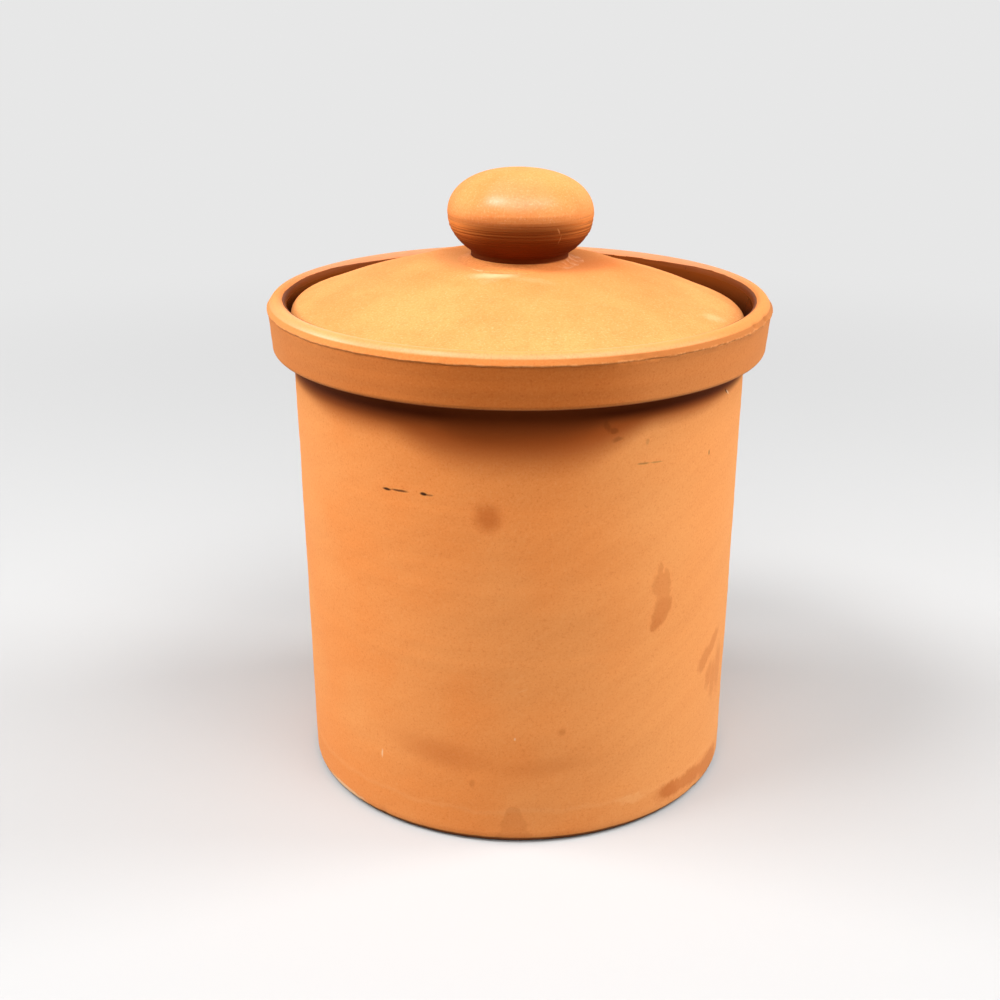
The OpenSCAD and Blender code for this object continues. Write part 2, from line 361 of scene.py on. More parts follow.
CLAY_WARM, CLAY_PALE, CLAY_DEEP = (0.89, 0.29, 0.07), (0.89, 0.325, 0.09), (0.6, 0.15, 0.028)
CLAY_LIT_YELLOW = (0.86, 0.345, 0.105)
COLLAR_TONE, LIP_TONE = (0.43, 0.088, 0.006), (0.42, 0.13, 0.03)
LID_WARM, LID_PALE, LID_DULL = (0.77, 0.275, 0.079), (0.79, 0.317, 0.097), (0.63, 0.17, 0.038)
KNOB_TRIM, KNOB_UNDER = (0.7, 0.235, 0.052), (0.12, 0.022, 0.002)
SLIP_PALE, SLIP_DULL = (0.82, 0.3, 0.086), (0.62, 0.17, 0.038)
GLAZE_LIT_TOP, GLAZE_DEEP, GLAZE_SPECK = (0.15, 0.036, 0.005), (0.09, 0.019, 0.004), (0.05, 0.014, 0.004)
SOOT, STAIN, SMUT = (0.02, 0.008, 0.004), (0.5, 0.1, 0.012), (0.2, 0.045, 0.006)
UNDER_COLLAR_SHADE, PAINTED_SHADE_DARK = (0.43, 0.092, 0.015), (0.09, 0.011, 0.0005)
BARE, CHALK_AND_HIGHLIGHT, RIM_BACK_TONE = (0.93, 0.44, 0.17), (0.95, 0.62, 0.36), (0.52, 0.24, 0.125)
SEAL_PALE, SEAL_AGED, CLAY_DUST = (0.8, 0.74, 0.62), (0.72, 0.64, 0.49), (0.55, 0.3, 0.14)

FRONT, FRONT_LEFT_SIDE = (0.0, -1.0, 0.0), (-0.34, -0.94, 0.0)
# Size, detail and roughness of the clay's grain
CLAY_GRAIN = (0.7, 4.0, 0.7)

# tone, strength, edge, ragged, then ovals: turn, height, half width, half height, tilt
BODY_MARKS = [
    # Two short black scratches and the faint line between them
    (SOOT, 0.95, 0.8, 0.5, [(-32.9, 120.9, 1.5, 0.42, 2)]),
    (SOOT, 0.8, 0.9, 0.5, [(-29.4, 121.2, 2.8, 0.36, 2)]),
    (SOOT, 0.95, 0.8, 0.5, [(-23.0, 121.5, 1.1, 0.48, 0)]),
    (SOOT, 0.5, 1.0, 0.5, [(-21.6, 121.4, 1.3, 0.3, 0)]),
    # A soft round smudge
    (STAIN, 0.56, 1.3, 2.4, [(-7.7, 115.6, 3.8, 4.0, 0)]),
    # High on the right: a faint broken scratch, ticks, one of them with a pale side, and curls
    (SOOT, 0.42, 1.0, 0.8, [(29.2, 130.1, 1.9, 0.3, -3)]),
    (SOOT, 0.3, 1.0, 0.8, [(33.0, 129.7, 2.2, 0.26, -6)]),
    (SOOT, 0.6, 0.9, 0.4, [(52.0, 127.0, 0.3, 0.9, 0)]),
    (SOOT, 0.8, 0.9, 0.4, [(59.2, 145.0, 0.36, 1.3, 50)]),
    (CHALK_AND_HIGHLIGHT, 0.7, 0.9, 0.4, [(60.2, 144.3, 0.3, 1.3, 50)]),
    (SMUT, 0.5, 1.0, 1.6, [(19.5, 143.8, 0.8, 2.0, 20), (21.2, 142.0, 1.6, 0.7, -20)]),
    (SMUT, 0.4, 1.0, 1.6, [(22.2, 139.2, 1.7, 0.7, 10)]),
    (SMUT, 0.2, 1.0, 1.0, [(30.1, 136.8, 0.7, 1.0, 0)]),
    # A run of dried water, darker at its foot
    (STAIN, 0.28, 0.3, 2.4, [
        (35.9, 91.4, 1.2, 3.4, 0), (36.2, 87.2, 3.8, 4.2, 8), (38.2, 88.6, 1.5, 4.0, 4),
        (37.6, 83.0, 2.4, 3.4, 0), (37.3, 79.6, 3.9, 4.2, -6), (36.4, 76.4, 3.3, 4.0, -20),
        (35.3, 73.8, 1.8, 2.4, -40),
    ]),
    (STAIN, 0.16, 0.6, 2.0, [(37.3, 78.8, 3.6, 3.6, -6), (36.0, 75.6, 3.0, 4.4, -24)]),
    (STAIN, 0.16, 0.8, 1.6, [(35.3, 73.6, 1.8, 2.4, -45)]),
    # Stains towards the right edge
    (STAIN, 0.36, 0.6, 3.0, [(56.6, 51.0, 3.0, 5.0, -50), (61.6, 54.4, 2.4, 6.4, -56)]),
    (STAIN, 0.28, 0.8, 3.6, [
        (60.0, 42.8, 2.4, 5.0, -15), (63.4, 39.4, 3.0, 7.0, 0), (67.6, 42.0, 3.6, 9.0, 5),
    ]),
    # Low down: a soft brown cloud, dots, pale nicks and scratches
    (CLAY_DEEP, 0.42, 1.7, 3.0, [(-21.0, 32.0, 13.0, 4.2, -4)]),
    (CLAY_DEEP, 0.2, 1.7, 3.0, [(6.0, 28.6, 15.0, 3.0, 4)]),
    (STAIN, 0.34, 1.3, 0.8, [(10.3, 41.5, 1.1, 1.2, 0)]),
    (STAIN, 0.3, 1.2, 1.2, [(-12.0, 22.0, 0.9, 1.3, 0)]),
    (CHALK_AND_HIGHLIGHT, 0.6, 1.0, 0.3, [(-1.3, 39.5, 0.3, 0.5, 0)]),
    (BARE, 0.3, 1.0, 1.0, [(0.5, 57.0, 1.6, 0.3, 20)]),
    (CHALK_AND_HIGHLIGHT, 0.7, 0.9, 0.4, [(-37.6, 25.2, 0.32, 1.5, -4)]),
    # A hump of damp above the foot
    (STAIN, 0.2, 0.25, 1.0, [
        (-1.4, 2.5, 5.9, 3.4, 0), (-1.5, 6.5, 4.5, 4.2, 0), (-1.7, 10.4, 2.9, 3.6, 0),
    ]),
    # A dark patch low on the right, and crumbs of lime beside it
    (STAIN, 0.5, 0.5, 4.0, [
        (44.6, 7.8, 6.4, 3.0, -10), (53.0, 7.4, 8.0, 3.2, -4), (64.5, 6.0, 10.0, 4.2, 0),
    ]),
    (STAIN, 0.3, 0.9, 3.0, [(42.0, 7.6, 5.6, 3.0, -8)]),
    (BARE, 0.35, 0.8, 5.0, [(30.0, 10.8, 5.5, 1.6, -6)]),
    # A pale line along the foot's edge on the left
    (CHALK_AND_HIGHLIGHT, 0.75, 0.9, 1.2, [(-54.0, 2.5, 11.0, 0.8, 0)]),
    # A few marks on the sides and back, which the photo doesn't show
    (STAIN, 0.26, 0.4, 4.0, [(128.0, 96.0, 4.0, 13.0, 6)]),
    (STAIN, 0.3, 0.9, 4.0, [(-118.0, 60.0, 7.0, 5.0, 0)]),
    (SOOT, 0.6, 0.9, 0.7, [(165.0, 70.0, 5.0, 0.3, 8)]),
    (STAIN, 0.4, 1.1, 1.0, [(-152.0, 118.0, 3.0, 3.2, 0)]),
]
KNOB_MARKS = [
    # A broken scratch down the trimmed half
    (BARE, 0.26, 1.0, 0.4, [(30.6, 192.4, 0.2, 1.0, 28)]),
    (BARE, 0.18, 1.0, 0.4, [(33.0, 189.6, 0.18, 1.4, -4)]),
]
# The same, with places in plan: right, back
LID_MARKS = [
    # Painted shadow of the knob beside it, a pale smear by the edge, and painted highlights on the wiped slip
    # in front of the knob
    (LID_DULL, 0.45, 1.5, 3.0, [(25.0, -3.0, 9.0, 8.0, 0)]),
    (CHALK_AND_HIGHLIGHT, 0.22, 1.4, 2.5, [(62.0, -27.4, 3.8, 2.2, 38)]),
    (CHALK_AND_HIGHLIGHT, 0.5, 1.5, 3.0, [(-8.5, -27.0, 6.0, 2.4, 0)]),
    (CHALK_AND_HIGHLIGHT, 0.1, 1.4, 4.0, [(-10.0, -31.6, 3.0, 1.4, 10), (3.6, -31.0, 6.0, 1.6, -10)]),
]


def terracotta():
    """The jar's clay."""
    paint = Paint("terracotta", Specular_IOR_Level=0.04, Coat_Roughness=0.42,
                  Sheen_Weight=0.12, Sheen_Roughness=0.5, Sheen_Tint=(1.0, 0.8, 0.5, 1.0))
    front = paint.towards(FRONT)
    cloud = paint.noise(46.0, detail=2.0)
    colour = paint.mix(paint.between(cloud, 0.35, 0.65), CLAY_WARM, CLAY_PALE)
    # The right side is painted paler and yellower, as painted light where it is more brightly lit
    colour = paint.over(colour, CLAY_LIT_YELLOW, paint.between(paint.x, 8.0, 45.0), strength=0.7)
    # The wall was wiped on the slant
    wiped = paint.noise(1.0, where=paint.stretched(across=0.018, up=0.15, lean=0.63))
    colour = paint.over(colour, CLAY_DEEP, paint.between(wiped, 0.4, 0.65), strength=0.07)
    # The collar has been handled, so it is deeper in colour above its lower edge. Its further darkening in
    # front is painted shade.
    collar = paint.both(paint.between(paint.z, COLLAR_Z - 0.2, COLLAR_Z + 1.6),
                        paint.between(paint.z, LIP_Z + 0.3, LIP_Z - 0.3),
                        paint.between(paint.radius, BODY_R + 3, BODY_R + 5))
    collar_tone_and_shade = paint.raised(0.47, paint.between(front, 0.88, 1.0), by=0.25)
    colour = paint.over(colour, COLLAR_TONE, collar, collar_tone_and_shade)
    # Fine grain, with pale flecks that are fainter on the handled collar
    grain = paint.noise(*CLAY_GRAIN)
    colour = paint.over(colour, CLAY_DEEP, paint.between(grain, 0.5, 0.8), strength=0.4, blend="MULTIPLY")
    flecked = paint.raised(0.3, collar, by=-0.2)
    colour = paint.over(colour, BARE, paint.between(grain, 0.5, 0.25), flecked)
    # Painted shade under the collar, reaching furthest down in front
    depth = paint.math("SUBTRACT", COLLAR_Z, paint.z)
    under = paint.both(paint.between(paint.radius, COLLAR_R - 1.0, COLLAR_R - 1.9),
                       paint.between(depth, -1.2, -0.2))
    reach = paint.raised(9.5, paint.between(front, 0.3, 0.75), by=4.5)
    reach = paint.raised(reach, paint.between(front, 0.84, 1.0), by=9.5)
    reach = paint.raised(reach, paint.between(paint.x, 8.0, 40.0), by=-3.0)
    shade_spread = paint.between(paint.math("DIVIDE", depth, reach), 1.1, 0.44)
    colour = paint.over(colour, UNDER_COLLAR_SHADE, under, shade_spread)
    # The blackest painted shadow stops sharply at the sides and fades out in front. Next to the collar it is
    # thinner
    middle = paint.between(front, 0.93, 1.0)
    low = paint.raised(8.0, middle, by=7.5)
    low = paint.raised(low, paint.between(paint.x, 0.0, -30.0), by=1.8)
    shadow_core = paint.between(depth, low, paint.raised(3.5, middle, by=-3.5))
    thick = paint.raised(0.74, paint.between(depth, 1.8, 4.8), by=0.26)
    colour = paint.over(colour, PAINTED_SHADE_DARK, under, shadow_core, thick)
    # A tide line of old damp above the foot, and painted shade on the foot's edge
    tide = paint.raised(paint.z, paint.noise(9.0), by=5.0)
    colour = paint.over(colour, STAIN, paint.between(tide, 15.4, 13.4), strength=0.06)
    line = paint.both(paint.between(tide, 13.0, 14.4), paint.between(tide, 16.0, 14.6))
    colour = paint.over(colour, BARE, line, strength=0.14)
    foot = paint.both(paint.between(paint.z, 2.5, 1.7), paint.between(paint.radius, FOOT_R - 0.8, FOOT_R))
    colour = paint.over(colour, PAINTED_SHADE_DARK, foot, strength=0.8)
    # The lip is deeper in colour, and painted darker again on the right as painted shade. It is rubbed bare
    # in spots along its torn seam
    rim_z = RIM_FOOT[1]
    outer = paint.between(paint.radius, LIP_TOP_R - 0.7, LIP_TOP_R - 0.2)
    lip = paint.both(paint.between(paint.z, LIP_Z - 0.2, LIP_Z + 0.2), outer,
                     paint.between(paint.z, rim_z + 0.5, rim_z - 0.1))
    lip_tone_and_shade = paint.raised(0.42, paint.between(paint.x, -10.0, 45.0), by=0.45)
    colour = paint.over(colour, LIP_TONE, lip, lip_tone_and_shade)
    torn = paint.both(paint.between(paint.z, LIP_Z - 0.2, LIP_Z + 0.1), outer,
                      paint.between(paint.z, LIP_Z + 0.9, LIP_Z + 0.4))
    spots = paint.between(paint.noise(1.6), 0.44, 0.64)
    colour = paint.over(colour, BARE, torn, spots, strength=0.25)
    # The rim is painted darker away from the front, a little to the left, as painted shade; it stays pale and
    # smooth there, where the highlight falls. It is painted duller at the back
    rim = paint.both(paint.between(paint.z, rim_z, rim_z + 0.5),
                     paint.between(paint.radius, RECESS_R - 0.3, RECESS_R + 0.2))
    front_left = paint.between(paint.towards(FRONT_LEFT_SIDE), 0.3, 0.95)
    colour = paint.over(colour, CLAY_DEEP, rim, paint.raised(0.4, front_left, by=-0.4))
    colour = paint.over(colour, RIM_BACK_TONE, rim, paint.between(front, 0.1, -0.6), strength=0.85)
    colour = paint.marks(colour, paint.unrolled(BODY_R), BODY_MARKS, across=math.radians(BODY_R))
    rings = paint.noise(1.0, detail=2.0, where=paint.stretched(across=0.04, up=1.2))
    relief = paint.math("ADD", paint.both(grain, 0.05), paint.both(rings, 0.03))
    skin = paint.both(rim, paint.raised(0.03, front_left, by=0.95))
    return paint.finish(colour, paint.raised(0.68, grain, by=0.2), relief, skin)


def lid_terracotta():
    """The clay of the lid and the knob."""
    paint = Paint("lid_terracotta", Specular_IOR_Level=0.05, Coat_Roughness=0.37)
    front = paint.towards(FRONT)
    cloud = paint.noise(24.0)
    colour = paint.mix(paint.between(cloud, 0.35, 0.65), LID_WARM, LID_PALE)
    mottle = paint.noise(8.0, detail=4.0, rough=0.6)
    colour = paint.over(colour, LID_DULL, paint.between(mottle, 0.5, 0.7), strength=0.16)
    grain = paint.noise(*CLAY_GRAIN)
    colour = paint.over(colour, CLAY_DEEP, paint.between(grain, 0.5, 0.8), strength=0.6)
    colour = paint.over(colour, CHALK_AND_HIGHLIGHT, paint.between(grain, 0.5, 0.25), strength=0.3)
    # Painted shade: the lid is darker towards the knob, most of all on the right, where the knob's shadow
    # falls
    near_knob = paint.both(paint.between(paint.radius, 64.0, 24.0),
                           paint.between(paint.z, BOSS_Z + 1.4, BOSS_Z + 0.8))
    knob_shade = paint.raised(0.12, paint.between(paint.x, -20.0, 8.0), by=0.3)
    colour = paint.over(colour, LID_DULL, near_knob, knob_shade)
    plan = paint.vector("MULTIPLY", paint.place, (1.0, 1.0, 0.0))
    on_lid = paint.between(paint.z, BOSS_Z + 2, BOSS_Z + 1)
    colour = paint.mix(on_lid, colour, paint.marks(colour, plan, LID_MARKS))
    # The knob's lower half was trimmed on the wheel and is streaked. It is painted darker downwards and in
    # front, as painted shade under the crown
    streak = paint.noise(1.0, where=paint.stretched(across=0.015, up=2.0))
    trimmed = paint.mix(paint.between(paint.z, KNOB_WIDE_Z - 1, KNOB_WIDE_Z - 10), KNOB_TRIM, KNOB_UNDER)
    trimmed = paint.over(trimmed, KNOB_UNDER, paint.between(front, 0.45, 1.0), strength=0.85)
    trimmed = paint.over(trimmed, KNOB_UNDER, paint.between(streak, 0.44, 0.6), strength=0.56)
    fray = paint.raised(paint.z, streak, by=4.0)
    lower = paint.both(paint.between(fray, KNOB_WIDE_Z + 6.0, KNOB_WIDE_Z - 0.3),
                       paint.between(paint.z, BOSS_Z + 1.0, BOSS_Z + 1.6))
    colour = paint.mix(lower, colour, trimmed)
    colour = paint.marks(colour, paint.unrolled(KNOB_R), KNOB_MARKS, across=math.radians(KNOB_R))
    relief = paint.math("ADD", paint.both(grain, 0.04), paint.both(streak, lower, 0.25))
    # The crown is rubbed smooth in front
    crown = paint.both(paint.between(paint.z, KNOB_WIDE_Z + 2.5, KNOB_WIDE_Z + 7),
                       paint.between(paint.z, KNOB_WIDE_Z + 14.5, KNOB_WIDE_Z + 10),
                       paint.between(front, 0.78, 0.93),
                       paint.raised(0.6, paint.between(paint.x, 7.0, -3.0), by=0.4))
    return paint.finish(colour, paint.raised(0.6, grain, by=0.2), relief, crown)


def slip():
    paint = Paint("slip", Specular_IOR_Level=0.08, Coat_Roughness=0.3)
    grain = paint.noise(0.9, detail=4.0, rough=0.65)
    colour = paint.over(SLIP_PALE, SLIP_DULL, paint.between(grain, 0.35, 0.7), strength=0.6)
    # It is painted darker on the right, as painted shade where the knob's shadow falls, with chalky smears
    colour = paint.over(colour, SLIP_DULL, paint.between(paint.x, -6.0, 12.0), strength=0.6)
    smear = paint.both(paint.between(paint.noise(3.0), 0.45, 0.65), paint.between(paint.x, 11.0, 17.0))
    colour = paint.over(colour, CHALK_AND_HIGHLIGHT, smear, strength=0.3)
    # The edge that was wiped out in front is smooth
    wiped = paint.both(paint.between(paint.towards(FRONT_LEFT_SIDE), 0.8, 0.98),
                       paint.between(paint.radius, 22.5, 24.5))
    rough = paint.raised(0.5, grain, by=0.2)
    return paint.finish(colour, rough, paint.both(grain, 0.03), paint.both(wiped, 0.35))


def brown_glaze():
    paint = Paint("brown_glaze", Specular_IOR_Level=0.05, Coat_Roughness=0.12)
    # It is painted darker downwards into the jar, as painted shade under the rim, and is thin and paler at
    # its edge, where it breaks over the rim
    cloud = paint.noise(16.0, detail=2.0)
    depth = paint.raised(paint.z, cloud, by=3.0)
    colour = paint.mix(paint.between(depth, SEAT_Z + 1, GLAZE_TOP + 2), GLAZE_DEEP, GLAZE_LIT_TOP)
    thin = paint.between(paint.radius, GLAZE_EDGE_R - 0.6, GLAZE_EDGE_R)
    colour = paint.over(colour, CLAY_DEEP, thin, strength=0.08)
    speck = paint.between(paint.noise(1.3, detail=1.0), 0.7, 0.78)
    colour = paint.over(colour, GLAZE_SPECK, speck, strength=0.4)
    # It is glossy inside and worn dull where the lid drops in
    rough = paint.raised(0.16, paint.noise(5.0), by=0.12)
    rough = paint.raised(rough, paint.between(paint.z, GLAZE_TOP - 1.6, GLAZE_TOP - 0.6), by=0.2)
    glossy = paint.both(paint.between(paint.z, SEAT_Z + 2, SEAT_Z - 3), 0.6)
    return paint.finish(colour, rough, paint.both(cloud, 0.15), glossy)


def seal():
    paint = Paint("seal", Specular_IOR_Level=0.45, Subsurface_Weight=0.35, Subsurface_Scale=0.003)
    cloud = paint.noise(12.0, detail=2.0)
    colour = paint.mix(paint.between(cloud, 0.3, 0.7), SEAL_PALE, SEAL_AGED)
    dust = paint.between(paint.noise(1.1, detail=2.0), 0.62, 0.74)
    colour = paint.over(colour, CLAY_DUST, dust, strength=0.25)
    rough = paint.raised(0.35, paint.noise(2.0), by=0.2)
    return paint.finish(colour, rough, paint.both(cloud, 0.04))


# Pieces

# turn, radius, height, size, depth
LIP_CHIPS = [
    (-15.5, 84.2, 165.4, 1.2, 0.5), (20.5, 84.3, 165.5, 2.4, 0.4), (23.5, 84.3, 165.7, 2.0, 0.45),
    (27.5, 84.3, 165.5, 1.6, 0.4), (60.2, 84.2, 166.6, 1.8, 0.6), (67.8, 84.3, 166.1, 2.6, 0.7),
    (-48.0, 84.3, 165.5, 1.6, 0.35), (-140.0, 84.3, 165.9, 2.2, 0.6), (172.0, 84.3, 165.8, 1.8, 0.5),
]
FOOT_CHIPS = [
    (-38.0, 74.6, 1.2, 2.4, 0.5), (9.0, 74.6, 1.0, 1.8, 0.4), (55.0, 74.6, 1.3, 2.6, 0.5),
    (140.0, 74.6, 1.2, 2.4, 0.5),
]


def inside_line(coat, top):
    """The jar's inside from the middle of the floor up to a height, drawn a coat's depth into the hollow."""
    floor_flat_r, floor_corner_z = BORE_FOOT_R - FLOOR_CORNER_R, FLOOR_Z + FLOOR_CORNER_R
    mouth_z, corner_z = RECESS_Z - MOUTH_R, RECESS_Z + RECESS_CORNER_R
    return joined(
        fine([(0, FLOOR_Z + coat), (floor_flat_r, FLOOR_Z + coat)], step=6.0),
        arc(floor_flat_r, floor_corner_z, FLOOR_CORNER_R - coat, -90, 0, steps=10),
        fine([(BORE_FOOT_R - coat, floor_corner_z), (BORE_R - coat, mouth_z)], step=6.0),
        arc(BORE_R + MOUTH_R, mouth_z, MOUTH_R + coat, 180, 90, steps=5),
        arc(RECESS_R - RECESS_CORNER_R, corner_z, RECESS_CORNER_R - coat, -90, 0, steps=5),
        fine([(RECESS_R - coat, corner_z), (RECESS_R - coat, top)], step=1.2),
    )


def jar_body():
    hollow = [(0, HOLLOW_H), (HOLLOW_R - HOLLOW_H, HOLLOW_H), (HOLLOW_R, 0), (FOOT_R - 0.4, 0)]
    bevel = [(FOOT_R + 0.1, 0.1), (BODY_FOOT_R - 0.9, 0.95), (BODY_FOOT_R - 0.2, 1.7), (BODY_FOOT_R, BEVEL_Z)]
    foot = fine(hollow, step=5.0) + bevel
    wall = fine([(BODY_FOOT_R, BEVEL_Z), (BODY_R, COLLAR_Z - COVE_R)], step=1.9)
    cove = arc(BODY_R + COVE_R, COLLAR_Z - COVE_R, COVE_R, 180, 90, steps=7)
    face_r, face_z = COLLAR_R - COLLAR_LEAN, COLLAR_Z + COLLAR_EDGE_R
    edge = arc(face_r - COLLAR_EDGE_R, face_z, COLLAR_EDGE_R, -90, 0, steps=9)
    face = fine([(face_r, face_z), (COLLAR_R, LIP_Z - 0.45)], step=0.8)
    # The lip steps out from the collar and slopes in to a rounded rim
    seam = [
        (COLLAR_R, LIP_Z - 0.2), (COLLAR_R + 0.15, LIP_Z),
        (LIP_R - 0.15, LIP_Z + 0.1), (LIP_R - 0.03, LIP_Z + 0.3),
    ]
    lip = fine([(LIP_R - 0.05, LIP_Z + 0.5), RIM_FOOT], step=0.45)
    rim = run_on(RIM_FOOT, RIM_ARCS) + [(RECESS_R, GLAZE_TOP - 0.8)]
    hidden = inside_line(-GLAZE_SUNK, GLAZE_TOP - 1.2)[::-1]
    r, z, turn = turned(joined(foot, wall, cove, edge, face, seam, lip, rim, hidden))
    right = np.sin(turn)
    outside = between(r, FOOT_R - 0.5, FOOT_R + 0.5)
    # The wheel leaves the wall slightly wavy, and the hand slightly out of round
    side = outside * between(z, 3, 9)
    r = r + side * (waves(turn, z, OUT_OF_ROUND) + waves(0 * turn, z, WHEEL_LINES))
    # The lip was torn along its seam, most of all on the right
    torn = hump(z, LIP_Z + 0.1, 0.55) * between(r, COLLAR_R - 1, COLLAR_R - 0.4)
    torn = torn * (TORN_LEFT + (1 - TORN_LEFT) * between(right, 0.1, 0.6))
    r = r + torn * (waves(turn, z, SEAM_TEETH) + waves(turn, z, SEAM_SWELLS))
    z = z + torn * waves(turn, 0 * z, SEAM_RISE)
    # There the collar comes out nearly as far as the lip
    flush = between(right, -0.1, 0.4) * between(r, COLLAR_R - 0.8, COLLAR_R - 0.4)
    r = r + SEAM_FLUSH * flush * hump(z, LIP_Z - 0.3, 0.5)
    # The foot's edge is worn
    r = r - outside * hump(z, 1.5, 0.9) * np.abs(waves(turn, z, FOOT_WEAR))
    points = chip(to_points(r, z, turn), LIP_CHIPS + FOOT_CHIPS)
    piece = make("canister_jar", points, terracotta(), "jar")
    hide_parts("jar_body")


def inner_glaze():
    # It runs up on the rim's inner slope in a thin edge, half sunk in the clay
    slope = [p for p in run_on(RIM_FOOT, RIM_ARCS) if p[0] < GLAZE_EDGE_R][::-1]
    under = [(r + GLAZE_SUNK, z - GLAZE_EDGE_BELOW) for r, z in slope]
    over = [(r - GLAZE_SUNK, z + GLAZE_EDGE_ABOVE) for r, z in slope][::-1]
    lip = [(GLAZE_EDGE_R + GLAZE_SUNK, over[0][1] + GLAZE_EDGE_LIP)]
    behind, face = inside_line(0, GLAZE_TOP - 0.5), inside_line(GLAZE_T, GLAZE_TOP - 0.7)[::-1]
    r, z, turn = turned(joined(behind, under, lip, over, face))
    edge = between(r, RECESS_R, RECESS_R + 0.5)
    uneven = waves(turn, 0 * z, GLAZE_RUNS) + waves(turn, 0 * z, GLAZE_NICKS)
    rise_per_step = 0.6
    r, z = r + edge * uneven, z + rise_per_step * edge * uneven
    # Towards the back its edge lies lower on the slope
    back = -np.cos(turn)
    fall = GLAZE_FALL_SIDES * between(back, -0.2, 0.1) + GLAZE_FALL_BACK * between(back, 0.45, 0.8)
    lower = z - fall * between(z, GLAZE_TOP - 2.5, GLAZE_TOP)
    slope_r, slope_z = np.transpose(slope)
    r = r + np.interp(lower, slope_z, slope_r) - np.interp(z, slope_z, slope_r)
    piece = make("glaze_lining", to_points(r, lower, turn), brown_glaze(), "jar")
    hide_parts("inner_glaze")


def lid(clay):
    slope = math.radians(LID_SLOPE)
    boss_flat_r, round_z = BOSS_R - BOSS_ROUND * math.tan(slope / 2), BOSS_Z - BOSS_ROUND
    under_z = BOSS_Z - LID_T
    under_ring_z = under_z - (RING_INNER_R - BOSS_R + LID_T * math.tan(slope / 2)) * math.tan(slope)
    hollow = arc(boss_flat_r, round_z, BOSS_ROUND - LID_T, 90, 90 - LID_SLOPE, steps=6)
    under = fine([(0, under_z)] + hollow + [(RING_INNER_R, under_ring_z)], step=3.0)
    bevel = [(RING_INNER_R, RING_Z + RING_BEVEL), (RING_INNER_R + RING_BEVEL, RING_Z)]
    ring = fine([(RING_INNER_R, under_ring_z)] + bevel, step=3.0)
    bead_top = (RING_R, RING_Z + BEAD_TOP)
    bead_r = RING_R + BEAD_OUT
    bead = [(RING_R, RING_Z), (bead_r, RING_Z + BEAD_LOW), (bead_r, RING_Z + BEAD_HIGH), bead_top]
    fillet = [(RING_R, SEAT_Z - RING_FILLET), (RING_R + RING_FILLET, SEAT_Z)]
    seat = fine([bead_top] + fillet + [(LID_R - LID_FOOT_R, SEAT_Z)], step=2.0)
    foot = arc(LID_R - LID_FOOT_R, SEAT_Z + LID_FOOT_R, LID_FOOT_R, -90, 0, steps=4)
    side = fine([(LID_R, SEAT_Z + LID_FOOT_R), (LID_R, LID_EDGE_Z)], step=0.8)
    edge = arc(LID_R - LID_EDGE_R, LID_EDGE_Z, LID_EDGE_R, 0, 90 - LID_SLOPE, steps=10)
    boss = arc(boss_flat_r, round_z, BOSS_ROUND, 90 - LID_SLOPE, 90, steps=8)
    cone = fine(edge[-1:] + boss[:1], step=1.0)
    flat = fine([(boss_flat_r, BOSS_Z), (0, BOSS_Z)], step=2.0)
    r, z, turn = turned(joined(under, ring, bead, seat, foot, side, edge, cone, boss, flat))
    z = z + SWELL_H * between(z, LID_EDGE_Z + 1, LID_EDGE_Z + 4) * hump(r, SWELL_R, SWELL_WIDTH)
    upper = between(z, LID_EDGE_Z, LID_EDGE_Z + 4)
    z = z + upper * (waves(turn, r, LID_SWELLS) + waves(0 * turn, r, LID_LINES))
    piece = make("canister_lid", askew(to_points(r, z, turn)), clay, "lid")
    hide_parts("lid")


def knob(clay):
    # An oval underside and a fuller crown
    under_turn = math.acos(NECK_R / KNOB_R)
    under_h = (KNOB_WIDE_Z - NECK_TOP_Z) / math.sin(under_turn)
    opening = np.linspace(under_turn, 0, UNDER_POINTS)
    under = [(KNOB_R * math.cos(t), KNOB_WIDE_Z - under_h * math.sin(t)) for t in opening]
    power = 2 / CROWN_FULLNESS
    closing = np.linspace(0, math.pi / 2, CROWN_POINTS)[1:-1]
    crown = [(KNOB_R * math.cos(t) ** power, KNOB_WIDE_Z + CROWN_H * math.sin(t) ** power) for t in closing]
    top = [(0, KNOB_WIDE_Z + CROWN_H)]
    bevel = [(NECK_R - 0.2, KNOB_FOOT_Z), (NECK_R, KNOB_FOOT_Z + 0.3)]
    foot = fine([(0, KNOB_FOOT_Z)] + bevel + [(NECK_R, NECK_TOP_Z)], step=0.8)
    r, z, turn = turned(joined(foot, under, crown, top), KNOB_SEGMENTS)
    # The lower half was trimmed on the wheel and keeps its lines, and a slight edge where the tool came off
    trimmed = between(z, KNOB_WIDE_Z + 0.8, KNOB_WIDE_Z - 0.4) * between(z, NECK_TOP_Z, NECK_TOP_Z + 2)
    r = r + trimmed * (waves(0 * turn, z, KNOB_LINES) + waves(turn, z, KNOB_CHATTER) - TRIM_DEPTH)
    above_neck = between(z, NECK_TOP_Z, NECK_TOP_Z + 4)
    r = r + above_neck * between(r, 0, 8) * waves(turn, z, KNOB_SWELLS)
    piece = make("canister_knob", askew(to_points(r, z, turn)), clay, "lid")
    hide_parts("knob")


